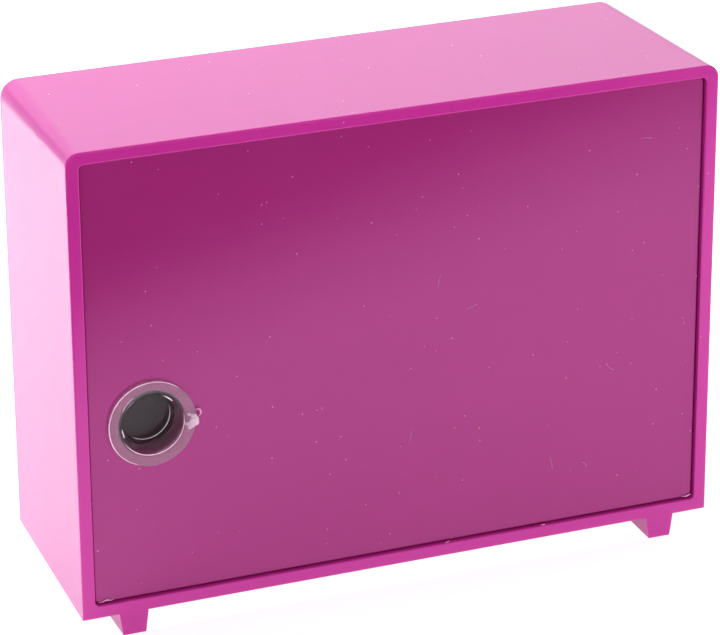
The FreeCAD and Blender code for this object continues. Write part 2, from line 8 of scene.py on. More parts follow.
# %% Load the frame
import math
import random

import bmesh
import bpy
from mathutils import Matrix, Vector, noise


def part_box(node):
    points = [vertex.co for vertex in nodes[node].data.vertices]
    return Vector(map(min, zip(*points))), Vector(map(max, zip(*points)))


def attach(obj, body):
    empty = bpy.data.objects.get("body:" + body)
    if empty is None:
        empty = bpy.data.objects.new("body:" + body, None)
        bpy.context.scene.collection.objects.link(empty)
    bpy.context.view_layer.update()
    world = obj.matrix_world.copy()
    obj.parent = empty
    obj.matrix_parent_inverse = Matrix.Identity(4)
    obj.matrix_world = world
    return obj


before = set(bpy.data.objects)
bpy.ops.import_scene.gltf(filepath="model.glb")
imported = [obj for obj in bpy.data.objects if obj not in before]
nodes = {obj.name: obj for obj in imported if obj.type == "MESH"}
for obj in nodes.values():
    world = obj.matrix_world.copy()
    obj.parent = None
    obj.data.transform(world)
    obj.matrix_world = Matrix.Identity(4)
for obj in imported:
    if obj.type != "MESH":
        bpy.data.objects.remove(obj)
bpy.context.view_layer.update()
MM = 0.001

# %% [markdown]
# ## Colours and nodes
# Colours are written as sRGB hex values, as a colour picker shows them. Shaders work in linear
# light, so one function turns the first into the second. A second function adds a shader node
# with its settings and its links in one call, and a third starts a material, which keeps each
# material short enough to read.

# %% Helpers for every material
def linear(hex_colour):
    """The linear colour of an sRGB hex value."""
    steps = [int(hex_colour[i:i + 2], 16) / 255 for i in (0, 2, 4)]
    light = [s / 12.92 if s <= 0.04045 else ((s + 0.055) / 1.055) ** 2.4 for s in steps]
    return (*light, 1.0)


def add(tree, kind, inputs=None, **settings):
    """Adds one node. inputs maps an input's name or number to a value or to another output."""
    made = tree.nodes.new(kind)
    for name, value in settings.items():
        setattr(made, name, value)
    for key, value in (inputs or {}).items():
        if isinstance(value, bpy.types.NodeSocket):
            tree.links.new(value, made.inputs[key])
        else:
            made.inputs[key].default_value = value
    return made


def start_material(name):
    """A new material: its node tree, its principled shader and its object coordinates."""
    material = bpy.data.materials.new(name)
    material.use_nodes = True
    tree = material.node_tree
    place = add(tree, "ShaderNodeTexCoord").outputs["Object"]
    return material, tree, tree.nodes["Principled BSDF"], place


# A colour mix node has its sockets at these numbers.
MIX_FACTOR, MIX_A, MIX_B, MIX_COLOUR = 0, 6, 7, 2
print("white in linear light:", linear("FFFFFF"))

# %% [markdown]
# ## Dyed ABS from a polished mould
# The shell, the rear panel and the door are ABS dyed magenta all the way through. The mould was
# polished, so the skin is a clear gloss over a slightly cloudy body: light soaks a few
# millimetres into it, which makes thin walls and edges glow. The melt leaves faint clouds where
# it flowed, the flat faces sink by a few hundredths of a millimetre, and the toy has been
# handled, so the gloss is broken by dull smudges and specks of dust. Real dust is finer than
# 0.1 mm. The specks here are 0.3 to 0.4 mm across, so that they show.

# %% Dust and smudges
WARM_DUST = "C0606E"


def dust_mask(tree, place, cell_mm, speck, share):
    """White where a speck lies: at most one in each cell, and only in a share of the cells.

    speck is its radius in mm. A fine noise bends the cells, so that the specks aren't round.
    """
    bend = add(tree, "ShaderNodeTexNoise", {"Vector": place, "Scale": 1 / (0.7 * MM), "Detail": 1.0})
    shift = add(tree, "ShaderNodeVectorMath", {
        0: bend.outputs["Color"],
        3: 0.25 * MM,
    }, operation="SCALE")
    bent = add(tree, "ShaderNodeVectorMath", {0: place, 1: shift.outputs[0]}, operation="ADD")
    cells = add(tree, "ShaderNodeTexVoronoi", {"Vector": bent.outputs[0], "Scale": 1 / (cell_mm * MM)})
    near = add(tree, "ShaderNodeMath", {
        0: cells.outputs["Distance"],
        1: speck / cell_mm,
    }, operation="LESS_THAN")
    pick = add(tree, "ShaderNodeSeparateColor", {0: cells.outputs["Color"]})
    chosen = add(tree, "ShaderNodeMath", {0: pick.outputs[0], 1: share}, operation="LESS_THAN")
    mask = add(tree, "ShaderNodeMath", {0: near.outputs[0], 1: chosen.outputs[0]}, operation="MULTIPLY")
    return mask.outputs[0]


def moulded_abs(name, body, cloud, dust, glow, gloss, share):
    """Dyed ABS: its body, flow and dust colours, and how it takes the light.

    glow is how far light soaks in, in mm; gloss is the skin's roughness; share is how much of
    the surface's cells hold a speck of dust.
    """
    material, tree, shader, place = start_material(name)
    drawn = add(tree, "ShaderNodeMapping", {0: place, 3: (0.3, 1.0, 1.6)})
    flow = add(tree, "ShaderNodeTexNoise", {
        "Vector": drawn.outputs[0],
        "Scale": 1 / (22 * MM),
        "Detail": 3.0,
        "Distortion": 0.6,
    })
    tint = add(tree, "ShaderNodeMix", {
        MIX_FACTOR: flow.outputs["Fac"],
        MIX_A: linear(body),
        MIX_B: linear(cloud),
    }, data_type="RGBA")
    pale_dust = dust_mask(tree, place, 3.1, 0.16, share)
    warm_dust = dust_mask(tree, place, 5.0, 0.21, share)
    dusted = add(tree, "ShaderNodeMix", {
        MIX_FACTOR: pale_dust,
        MIX_A: tint.outputs[MIX_COLOUR],
        MIX_B: linear(dust),
    }, data_type="RGBA")
    both = add(tree, "ShaderNodeMix", {
        MIX_FACTOR: warm_dust,
        MIX_A: dusted.outputs[MIX_COLOUR],
        MIX_B: linear(WARM_DUST),
    }, data_type="RGBA")
    tree.links.new(both.outputs[MIX_COLOUR], shader.inputs["Base Color"])

    smudge = add(tree, "ShaderNodeTexNoise", {
        "Vector": place,
        "Scale": 1 / (16 * MM),
        "Detail": 3.0,
        "Roughness": 0.6,
    })
    skin = add(tree, "ShaderNodeMapRange", {
        "Value": smudge.outputs["Fac"],
        "From Min": 0.35,
        "From Max": 0.75,
        "To Min": gloss,
        "To Max": gloss + 0.06,
    })
    dull = add(tree, "ShaderNodeMath", {0: pale_dust, 1: skin.outputs[0]}, operation="MAXIMUM")
    tree.links.new(dull.outputs[0], shader.inputs["Roughness"])

    sink = add(tree, "ShaderNodeTexNoise", {"Vector": place, "Scale": 1 / (30 * MM), "Detail": 1.0})
    ripple = add(tree, "ShaderNodeBump", {
        "Height": sink.outputs["Fac"],
        "Strength": 0.35,
        "Distance": 0.12 * MM,
    })
    polish = add(tree, "ShaderNodeTexNoise", {"Vector": place, "Scale": 1 / (0.9 * MM), "Detail": 2.0})
    fine = add(tree, "ShaderNodeBump", {
        "Height": polish.outputs["Fac"],
        "Strength": 0.12,
        "Distance": 0.01 * MM,
        "Normal": ripple.outputs[0],
    })
    grit = add(tree, "ShaderNodeBump", {
        "Height": pale_dust,
        "Strength": 0.5,
        "Distance": 0.05 * MM,
        "Normal": fine.outputs[0],
    })
    tree.links.new(grit.outputs[0], shader.inputs["Normal"])

    shader.inputs["IOR"].default_value = 1.54
    # Red soaks in furthest, which makes edges and thin walls glow hot pink.
    shader.inputs["Subsurface Weight"].default_value = 0.35
    shader.inputs["Subsurface Radius"].default_value = (1.0, 0.12, 0.5)
    shader.inputs["Subsurface Scale"].default_value = glow * MM
    return material


shell_abs = moulded_abs(
    "magenta_abs_shell", "BB288F", "C03094", "EBA4D3", glow=3.0, gloss=0.10, share=0.35
)
# The panel is the same ABS as the shell. Its darker body, cloud and dust colours are painted shade, not
# a darker dye.
panel_abs_painted_shade = moulded_abs(
    "magenta_abs_panel_painted_shade", "98226E", "9F2672", "C97FB0", glow=1.5, gloss=0.08, share=0.65
)
door_abs = moulded_abs(
    "magenta_abs_door", "B92A8C", "C03292", "EBA4D3", glow=2.0, gloss=0.12, share=0.35
)
# The gloss is a little stronger than bare ABS gives, and pink. The extra stands for light that
# goes just under the skin, where it takes up colour, and comes back out.
for material in (shell_abs, panel_abs_painted_shade, door_abs):
    shader = material.node_tree.nodes["Principled BSDF"]
    shader.inputs["Specular Tint"].default_value = (1.0, 0.45, 0.92, 1.0)
    shader.inputs["Specular IOR Level"].default_value = 0.85
print("ABS:", shell_abs.name, panel_abs_painted_shade.name, door_abs.name)

# %% [markdown]
# ## Clear PVC
# The stopper is clear flexible PVC, pressed in a shiny mould, and a few scuffs dull it. Half of
# the light goes straight through and half is bent, which keeps the panel visible beneath the
# flange. The flange is a little milky, as soft PVC is at its outer edge.

# %% Clear PVC
def centre(name):
    """The middle of a CAD node's box."""
    low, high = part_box(name)
    return (low + high) / 2


def clear_pvc():
    """Clear soft PVC: a dark, shiny cup and a slightly milky flange."""
    material, tree, shader, place = start_material("clear_soft_pvc")
    scuff = add(tree, "ShaderNodeTexNoise", {
        "Vector": place,
        "Scale": 1 / (1.6 * MM),
        "Detail": 4.0,
        "Roughness": 0.65,
    })
    dull = add(tree, "ShaderNodeMapRange", {
        "Value": scuff.outputs["Fac"],
        "From Min": 0.45,
        "From Max": 0.8,
        "To Min": 0.03,
        "To Max": 0.3,
    })
    tree.links.new(dull.outputs[0], shader.inputs["Roughness"])
    wave = add(tree, "ShaderNodeBump", {
        "Height": scuff.outputs["Fac"],
        "Strength": 0.25,
        "Distance": 0.05 * MM,
    })
    tree.links.new(wave.outputs[0], shader.inputs["Normal"])
    shader.inputs["Base Color"].default_value = linear("EFCFE6")
    shader.inputs["IOR"].default_value = 1.53
    middle = centre("stopper")
    flat = add(tree, "ShaderNodeVectorMath", {0: place, 1: (1.0, 0.0, 1.0)}, operation="MULTIPLY")
    radius = add(tree, "ShaderNodeVectorMath", {
        0: flat.outputs[0],
        1: (middle.x, 0.0, middle.z),
    }, operation="DISTANCE")
    clarity = add(tree, "ShaderNodeMapRange", {
        "Value": radius.outputs["Value"],
        "From Min": 6.7 * MM,
        "From Max": 7.3 * MM,
        "To Min": 1.0,
        "To Max": 0.70,
    })
    tree.links.new(clarity.outputs[0], shader.inputs["Transmission Weight"])
    straight = add(tree, "ShaderNodeBsdfTransparent", {"Color": linear("FBF3F8")})
    both = add(tree, "ShaderNodeMixShader", {0: 0.5, 1: shader.outputs[0], 2: straight.outputs[0]})
    tree.links.new(both.outputs[0], tree.nodes["Material Output"].inputs["Surface"])
    return material


stopper_pvc = clear_pvc()
print("clear:", stopper_pvc.name)

# %% [markdown]
# ## Acetal
# The lock parts are acetal, a slippery plastic with a matt, slightly waxy skin. The mould was
# eroded by sparks, which leaves a faint even mottling.

# %% Acetal
def acetal(name, body):
    """Matt acetal with the faint mottling of a spark-eroded mould."""
    material, tree, shader, place = start_material(name)
    mottle = add(tree, "ShaderNodeTexNoise", {"Vector": place, "Scale": 1 / (0.8 * MM), "Detail": 3.0})
    skin = add(tree, "ShaderNodeMapRange", {
        "Value": mottle.outputs["Fac"],
        "To Min": 0.38,
        "To Max": 0.55,
    })
    tree.links.new(skin.outputs[0], shader.inputs["Roughness"])
    bump = add(tree, "ShaderNodeBump", {
        "Height": mottle.outputs["Fac"],
        "Strength": 0.4,
        "Distance": 0.02 * MM,
    })
    tree.links.new(bump.outputs[0], shader.inputs["Normal"])
    shader.inputs["Base Color"].default_value = linear(body)
    shader.inputs["IOR"].default_value = 1.48
    return material


black_acetal = acetal("black_acetal", "1B1A1C")
white_acetal = acetal("natural_acetal", "D9D6CC")
print("acetal:", black_acetal.name, white_acetal.name)

# %% [markdown]
# ## Vacuum plating
# The trim is ABS with a film of aluminium evaporated on it in a vacuum and then lacquered. It
# looks like soft chrome, and handling leaves it hazy in patches.

# %% Vacuum-plated ABS
def plated_abs():
    """Aluminium film under lacquer: bright, with soft handling marks."""
    material, tree, shader, place = start_material("vacuum_plated_abs")
    haze = add(tree, "ShaderNodeTexNoise", {
        "Vector": place,
        "Scale": 1 / (5 * MM),
        "Detail": 4.0,
        "Roughness": 0.6,
    })
    skin = add(tree, "ShaderNodeMapRange", {
        "Value": haze.outputs["Fac"],
        "From Min": 0.3,
        "From Max": 0.8,
        "To Min": 0.12,
        "To Max": 0.3,
    })
    tree.links.new(skin.outputs[0], shader.inputs["Roughness"])
    shader.inputs["Base Color"].default_value = linear("D6D6DA")
    shader.inputs["Metallic"].default_value = 1.0
    return material


plating = plated_abs()
print("plating:", plating.name)

# %% [markdown]
# ## The dial's black
# The dial and the handle's cap are black polystyrene. It takes a high gloss from its mould, and
# fingers rub that gloss a little duller.

# %% Glossy black for the dial
def dial_black():
    """Black polystyrene with a high gloss and the light rub of fingers."""
    material, tree, shader, place = start_material("black_gloss_polystyrene")
    rub = add(tree, "ShaderNodeTexNoise", {"Vector": place, "Scale": 1 / (4 * MM), "Detail": 3.0})
    skin = add(tree, "ShaderNodeMapRange", {
        "Value": rub.outputs["Fac"],
        "From Min": 0.3,
        "From Max": 0.75,
        "To Min": 0.14,
        "To Max": 0.28,
    })
    tree.links.new(skin.outputs[0], shader.inputs["Roughness"])
    shader.inputs["Base Color"].default_value = linear("141315")
    shader.inputs["IOR"].default_value = 1.59
    return material


gloss_black = dial_black()
print("dial:", gloss_black.name)

# %% [markdown]
# ## Zinc-plated steel
# Pins, screws and the spring are steel with a thin coat of bright zinc. Its crystals are far too
# fine to see. They are drawn 0.5 mm wide, so that the metal isn't one flat grey.

# %% Zinc-plated steel
def zinc_steel():
    """Bright zinc on steel: the faint crystals of the plating bath."""
    material, tree, shader, place = start_material("zinc_plated_steel")
    crystal = add(tree, "ShaderNodeTexVoronoi", {"Vector": place, "Scale": 1 / (0.5 * MM)})
    tone = add(tree, "ShaderNodeMix", {
        MIX_FACTOR: crystal.outputs["Distance"],
        MIX_A: linear("B9BDC4"),
        MIX_B: linear("9A9EA6"),
    }, data_type="RGBA")
    tree.links.new(tone.outputs[MIX_COLOUR], shader.inputs["Base Color"])
    shader.inputs["Metallic"].default_value = 1.0
    shader.inputs["Roughness"].default_value = 0.28
    return material


steel = zinc_steel()
print("steel:", steel.name)

# %% [markdown]
# ## Dress the frame
# Each part of the frame keeps its own mesh and only gets its material. The stopper casts no
# shadow, because light reaches the panel through clear plastic.

# %% Give each part its material
dressing = {
    shell_abs: ("housing_shell",),
    panel_abs_painted_shade: ("rear_panel",),
    door_abs: ("door_panel",),
    stopper_pvc: ("stopper",),
    black_acetal: ("lock_cover", "lock_disc", "bolt"),
    white_acetal: ("pinion", "dial_washer", "handle_washer"),
    plating: ("index_ring", "handle_ring", "dial_cap", "handle"),
    gloss_black: ("dial", "handle_cap"),
    steel: ("hinge_pins", "cover_screws", "click_spring", "spring_screw", "disc_screw", "pinion_screw"),
}
for material, names in dressing.items():
    for name in names:
        nodes[name].data.materials.clear()
        nodes[name].data.materials.append(material)
nodes["stopper"].visible_shadow = False
print("dressed:", sum(len(names) for names in dressing.values()), "parts")

# %% [markdown]
# ## Printing ink
# The dial's numbers and ticks are pad printed in white, a film a few hundredths of a millimetre
# thick. The ink is slightly matt beside the glossy black, and worn thin in places.

# %% White ink
def white_ink():
    """White pad-printing ink, slightly matt, worn thin in places."""
    material, tree, shader, place = start_material("white_printing_ink")
    wear = add(tree, "ShaderNodeTexNoise", {"Vector": place, "Scale": 1 / (0.8 * MM), "Detail": 3.0})
    tone = add(tree, "ShaderNodeMix", {
        MIX_FACTOR: wear.outputs["Fac"],
        MIX_A: linear("F2F0EA"),
        MIX_B: linear("D8D5CC"),
    }, data_type="RGBA")
    tree.links.new(tone.outputs[MIX_COLOUR], shader.inputs["Base Color"])
    shader.inputs["Roughness"].default_value = 0.45
    return material


ink = white_ink()
dial_middle = centre("dial_cap")
dial_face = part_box("index_ring")[0].y
dial_rim = (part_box("dial")[1].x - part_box("dial")[0].x) / 2
print("dial radius:", round(dial_rim / MM, 1), "mm")

# %% [markdown]
# ## Ticks
# Ticks and numbers are thin meshes on the dial's face, so they turn with it. There are fifty
# ticks, and every fifth one is longer and wider.

# %% Ticks
def ink_object(name, mesh, body):
    """Puts a printed mesh in the scene, inked and riding on a body."""
    made = bpy.data.objects.new(name, mesh)
    bpy.context.scene.collection.objects.link(made)
    mesh.materials.clear()
    mesh.materials.append(ink)
    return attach(made, body)


def dial_spot(angle, radius):
    """A point on the dial's face; the angle runs clockwise from the top as the door is seen."""
    across = radius * math.sin(angle)
    return Vector((dial_middle.x + across, dial_face, dial_middle.z + radius * math.cos(angle)))


film = 0.03 * MM
tick_count = 50
ticks_per_number = 5
tick_margin = 0.8 * MM
ticks = bmesh.new()
for i in range(tick_count):
    angle = 2 * math.pi * i / tick_count
    long_tick = i % ticks_per_number == 0
    reach = 1.9 * MM if long_tick else 1.1 * MM
    half = 0.16 * MM if long_tick else 0.1 * MM
    outer = dial_rim - tick_margin
    way = Vector((math.sin(angle), 0, math.cos(angle)))
    side = Vector((math.cos(angle), 0, -math.sin(angle))) * half
    foot = dial_spot(angle, outer - reach)
    tip = foot + way * reach
    back = [ticks.verts.new(p) for p in (foot - side, foot + side, tip + side, tip - side)]
    front = [ticks.verts.new(v.co + Vector((0, -film, 0))) for v in back]
    ticks.faces.new(front)
    ticks.faces.new(list(reversed(back)))
    for j in range(4):
        ticks.faces.new((back[j], back[(j + 1) % 4], front[(j + 1) % 4], front[j]))
bmesh.ops.recalc_face_normals(ticks, faces=ticks.faces)
tick_mesh = bpy.data.meshes.new("dial_ticks")
ticks.to_mesh(tick_mesh)
ticks.free()
ink_object("dial_ticks", tick_mesh, "dial")
print("ticks:", tick_count)

# %% [markdown]
# ## Numbers
# Ten numbers, 0 to 90, stand inside the long ticks with their feet towards the middle. Each is a text
# curve turned into a mesh, stood up and turned to its place.

# %% Numbers
number_count = 10
number_size = 3.1 * MM
number_ring = 12.4 * MM
for i in range(number_count):
    angle = 2 * math.pi * i / number_count
    letters = bpy.data.curves.new(f"number_{i * 10}", "FONT")
    letters.body = str(i * 10)
    letters.size = number_size
    letters.extrude = film / 2
    letters.align_x = "CENTER"
    letters.align_y = "CENTER"
    text = bpy.data.objects.new("number_text", letters)
    mesh = bpy.data.meshes.new_from_object(text)
    bpy.data.objects.remove(text)
    stand = Matrix.Rotation(math.radians(90), 4, "X")
    turn = Matrix.Rotation(angle, 4, "Y")
    spot = dial_spot(angle, number_ring) - Vector((0, film / 2, 0))
    mesh.transform(Matrix.Translation(spot) @ turn @ stand)
    ink_object(f"dial_number_{i * 10}", mesh, "dial")
print("numbers: 0 to 90")

# %% [markdown]
# ## The stopper's gate scar
# The stopper was twisted off its runner, which left a torn lump on the edge of its flange. PVC
# goes white where it is stretched. The lump is a handful of small rough ones that run together.

# %% A torn lump
def torn_lump(name, middle, size, seed):
    """A small rough lump: a fine sphere pushed in and out by broad and narrow noise."""
    mesh = bpy.data.meshes.new(name)
    lump = bmesh.new()
    bmesh.ops.create_icosphere(lump, subdivisions=4, radius=1.0)
    offset = Vector((seed * 7.3, seed * 3.1, seed * 5.7))
    for v in lump.verts:
        broad = 0.5 * noise.noise(v.co * 2.0 + offset)
        narrow = 0.35 * noise.noise(v.co * 5.5 + offset)
        stretched = Vector((v.co.x * size[0], v.co.y * size[1], v.co.z * size[2]))
        v.co = stretched * (1.0 + broad + narrow) + middle
    lump.to_mesh(mesh)
    lump.free()
    for polygon in mesh.polygons:
        polygon.use_smooth = True
    made = bpy.data.objects.new(name, mesh)
    bpy.context.scene.collection.objects.link(made)
    return made


def torn_pvc():
    """Stretched PVC goes white where it tears."""
    material, tree, shader, place = start_material("stress_whitened_pvc")
    crumb = add(tree, "ShaderNodeTexNoise", {"Vector": place, "Scale": 1 / (0.3 * MM), "Detail": 3.0})
    tone = add(tree, "ShaderNodeMix", {
        MIX_FACTOR: crumb.outputs["Fac"],
        MIX_A: linear("FFF8FD"),
        MIX_B: linear("EFC6E0"),
    }, data_type="RGBA")
    tree.links.new(tone.outputs[MIX_COLOUR], shader.inputs["Base Color"])
    bump = add(tree, "ShaderNodeBump", {
        "Height": crumb.outputs["Fac"],
        "Strength": 0.8,
        "Distance": 0.1 * MM,
    })
    tree.links.new(bump.outputs[0], shader.inputs["Normal"])
    shader.inputs["Roughness"].default_value = 0.35
    shader.inputs["Transmission Weight"].default_value = 0.1
    return material


torn = torn_pvc()
stopper_low, stopper_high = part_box("stopper")
stopper_middle = centre("stopper")
flange_radius = (stopper_high.x - stopper_low.x) / 2
gate_angle = math.radians(7.3)
gate_face = stopper_high.y - 0.62 * MM
print("flange radius:", round(flange_radius / MM, 2), "mm")

# Each lump: degrees round the flange from the gate, mm out from its edge, half its width in mm.
gate_lumps = (
    (0.0, -0.35, 0.95),
    (4.5, -0.75, 0.70),
    (-4.0, -0.15, 0.75),
    (-8.5, -0.45, 0.60),
    (1.5, 0.15, 0.60),
    (8.0, -1.0, 0.45),
    (-12.0, -1.3, 0.35),
    (3.0, -1.7, 0.40),
)
for i, (spread, lift, size) in enumerate(gate_lumps):
    angle = math.pi - gate_angle - math.radians(spread)
    radius = flange_radius + lift * MM
    across = radius * math.cos(angle)
    down = radius * math.sin(angle)
    place = Vector((stopper_middle.x + across, gate_face, stopper_middle.z - down))
    lump = torn_lump(f"stopper_gate_{i + 1}", place, (size * MM, 0.42 * MM, size * 0.8 * MM), seed=i + 1)
    lump.data.materials.append(torn)
    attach(lump, "stopper")
print("gate scar:", len(gate_lumps), "lumps")

# %% [markdown]
# ## Thin swept pieces
# Bright edges, slivers of flash, a curl and fibres are all thin round pieces that follow a path.
# One function makes them: it puts a ring of points round each point of the path and skins them.

# %% A thin swept piece
def swept(name, path, widths, material, body):
    """A thin piece swept along a path of points; widths are its half thickness at each point."""
    sides = 10
    tube = bmesh.new()
    rings = []
    for i, (point, width) in enumerate(zip(path, widths)):
        along = (path[min(i + 1, len(path) - 1)] - path[max(i - 1, 0)]).normalized()
        across = along.cross(Vector((0, 1, 0))).normalized()
        out = across.cross(along)
        ring = []
        for j in range(sides):
            turn = 2 * math.pi * j / sides
            ring.append(tube.verts.new(point + (across * math.cos(turn) + out * math.sin(turn)) * width))
        rings.append(ring)
    for near, far in zip(rings, rings[1:]):
        for j in range(sides):
            k = (j + 1) % sides
            tube.faces.new((near[j], near[k], far[k], far[j]))
    tube.faces.new(list(reversed(rings[0])))
    tube.faces.new(rings[-1])
    bmesh.ops.recalc_face_normals(tube, faces=tube.faces)
    mesh = bpy.data.meshes.new(name)
    tube.to_mesh(mesh)
    tube.free()
    mesh.materials.append(material)
    for polygon in mesh.polygons:
        polygon.use_smooth = True
    made = bpy.data.objects.new(name, mesh)
    bpy.context.scene.collection.objects.link(made)
    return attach(made, body)


def stopper_point(angle, radius, y):
    """A point round the stopper; the angle runs anticlockwise from the right, seen from behind."""
    turn = math.radians(angle)
    across = radius * math.cos(turn)
    rise = radius * math.sin(turn)
    return Vector((stopper_middle.x - across, y, stopper_middle.z + rise))


print("swept pieces ready")

# %% [markdown]
# ## Painted highlights on the stopper's edges
# Clear plastic works like a light pipe: light that enters the flange runs inside it and leaves at
# its round edges, which then shine white. A path tracer finds that light very slowly, so the
# edges get painted highlights instead: fine glowing beads, brightest in the middle and tapering to
# nothing. Two smaller beads paint glints, and one paints a highlight on the cup's wall.

# %% Painted highlights
def painted_highlight_pvc():
    """A painted highlight on the round edge of clear PVC: milky and glowing, its glow broken by scuffs.
    """
    material, tree, shader, place = start_material("painted_highlight_clear_pvc")
    scuff = add(tree, "ShaderNodeTexNoise", {"Vector": place, "Scale": 1 / (1.2 * MM), "Detail": 3.0})
    # Painted highlight: the bead glows, more or less as the noise varies.
    glow = add(tree, "ShaderNodeMapRange", {
        "Value": scuff.outputs["Fac"],
        "From Min": 0.35,
        "From Max": 0.65,
        "To Min": 0.12,
        "To Max": 0.5,
    })
    tree.links.new(glow.outputs[0], shader.inputs["Emission Strength"])
    shader.inputs["Emission Color"].default_value = linear("FFE6F4")
    shader.inputs["Base Color"].default_value = linear("F0D6E6")
    shader.inputs["Roughness"].default_value = 0.15
    shader.inputs["IOR"].default_value = 1.53
    return material


def painted_highlight_bead(name, start, end, radius, y, width):
    """A tapered bead of painted highlight round part of the stopper."""
    steps = 60
    path = []
    widths = []
    for i in range(steps + 1):
        share = i / steps
        path.append(stopper_point(start + (end - start) * share, radius, y))
        widths.append(width * (0.1 + 0.9 * math.sin(math.pi * share) ** 0.5))
    return swept(name, path, widths, painted_highlight_material, "stopper")


painted_highlight_material = painted_highlight_pvc()
flange_face = stopper_high.y
floor_thickness = 1.1 * MM
cup_floor = stopper_low.y + floor_thickness
# Each bead is a painted highlight: the lit edges, the cup floor's edge, the cup's wall and two small
# glints.
painted_highlight_bead("stopper_painted_highlight_rim", 50, 250, 9.03 * MM, flange_face - 0.32 * MM, 0.11 * MM)
painted_highlight_bead("stopper_painted_highlight_lip", 208, 372, 6.72 * MM, flange_face - 0.14 * MM, 0.11 * MM)
painted_highlight_bead("stopper_painted_highlight_floor", 236, 378, 5.24 * MM, cup_floor + 0.08 * MM, 0.06 * MM)
painted_highlight_bead("stopper_painted_highlight_wall", 118, 160, 5.60 * MM, cup_floor + 1.6 * MM, 0.16 * MM)
painted_highlight_bead("stopper_painted_highlight_glint", 40, 62, 6.05 * MM, flange_face - 1.2 * MM, 0.13 * MM)
painted_highlight_bead("stopper_painted_highlight_smear", 184, 202, 6.20 * MM, flange_face - 0.8 * MM, 0.14 * MM)
print("bright edges: 6 beads")

# %% [markdown]
# ## Flash and nicks on the rim
# Where the two mould halves did not close tightly, a sliver of plastic squeezed out. On this toy
# it stayed in the lower corners of the rim, and the rim's inner edge has two small nicks. Thin
# plastic lets more light through, so it looks paler than the rim; that paleness is painted light in
# its colour, on top of the real whitening of bent ABS.

# %% Pale slivers
def flash_abs():
    """Thin magenta ABS, pale where it was bent and torn, with painted light for what shines through it.
    """
    material, tree, shader, place = start_material("thin_flash_abs")
    tear = add(tree, "ShaderNodeTexNoise", {"Vector": place, "Scale": 1 / (0.5 * MM), "Detail": 3.0})
    # Partly painted light: the pale colour also stands for light through the thin plastic.
    tone = add(tree, "ShaderNodeMix", {
        MIX_FACTOR: tear.outputs["Fac"],
        MIX_A: linear("F3B4DC"),
        MIX_B: linear("DC62B4"),
    }, data_type="RGBA")
    tree.links.new(tone.outputs[MIX_COLOUR], shader.inputs["Base Color"])
    shader.inputs["Roughness"].default_value = 0.35
    shader.inputs["IOR"].default_value = 1.54
    return material


def sliver(name, start, end, width, wander, seed):
    """A ragged sliver between two points, wandering a little and ending in points."""
    steps = 14
    path = []
    widths = []
    for i in range(steps + 1):
        share = i / steps
        drift = noise.noise(Vector((share * 3.0, seed, 0.0))) * wander
        path.append(start.lerp(end, share) + Vector((0, 0, drift)))
        ragged = 0.7 + 0.5 * noise.noise(Vector((share * 6.0, 0.0, seed)))
        widths.append(width * (0.15 + math.sin(math.pi * share) * ragged))
    return swept(name, path, widths, flash, "housing")


flash = flash_abs()
panel_low, panel_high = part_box("rear_panel")
rim_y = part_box("housing_shell")[1].y
corner_right = Vector((panel_low.x, panel_high.y, panel_low.z))
corner_left = Vector((panel_high.x, panel_high.y, panel_low.z))
sliver(
    "flash_right",
    corner_right + Vector((2.4, 0.2, 0.2)) * MM,
    corner_right + Vector((0.1, 0.3, 0.5)) * MM,
    0.20 * MM,
    0.2 * MM,
    1.0,
)
sliver(
    "flash_left",
    corner_left + Vector((-0.6, 0.2, 0.2)) * MM,
    corner_left + Vector((-3.9, 0.2, 0.5)) * MM,
    0.20 * MM,
    0.4 * MM,
    2.0,
)
nick_places = (-31.5, -9.5)
for i, x in enumerate(nick_places):
    nick = Vector((x * MM, rim_y - 0.25 * MM, panel_low.z - 0.2 * MM))
    nick_end = nick + Vector((-1.1, 0.0, 0.25)) * MM
    sliver(f"rim_nick_{i + 1}", nick, nick_end, 0.13 * MM, 0.3 * MM, 5.0 + i)
print("flash: 2 slivers and", len(nick_places), "nicks")

# %% [markdown]
# ## A curl beside the gate
# A thin thread of plastic was drawn out when the stopper was twisted off, and curled back.

# %% A curl of flash beside the gate
curl_angle = 4.0
curl_middle = stopper_point(curl_angle, flange_radius + 0.55 * MM, gate_face - 0.15 * MM)
curl_path = []
curl_widths = []
curl_steps = 24
for i in range(curl_steps + 1):
    share = i / curl_steps
    turn = math.radians(-70 + 200 * share)
    bow = Vector((-0.62 * math.cos(turn), 0.2 * share, 0.85 * math.sin(turn))) * MM
    curl_path.append(curl_middle + bow)
    curl_widths.append(0.22 * MM * (0.25 + 0.75 * math.sin(math.pi * share)))
swept("stopper_gate_curl", curl_path, curl_widths, flash, "stopper")
print("curl: one")

# %% [markdown]
# ## Fibres
# A few short textile fibres have settled on the panel, as they do on any plastic that charges up
# when it is rubbed. Real ones are 0.02 mm thick; these are 0.06 mm, so that they show.

# %% Fibres on the panel
def lint():
    """Pale textile fibre."""
    material, tree, shader, place = start_material("textile_fibre")
    fade = add(tree, "ShaderNodeTexNoise", {"Vector": place, "Scale": 1 / (1.5 * MM)})
    tone = add(tree, "ShaderNodeMix", {
        MIX_FACTOR: fade.outputs["Fac"],
        MIX_A: linear("E8B8D4"),
        MIX_B: linear("C98AB2"),
    }, data_type="RGBA")
    tree.links.new(tone.outputs[MIX_COLOUR], shader.inputs["Base Color"])
    shader.inputs["Roughness"].default_value = 0.8
    return material


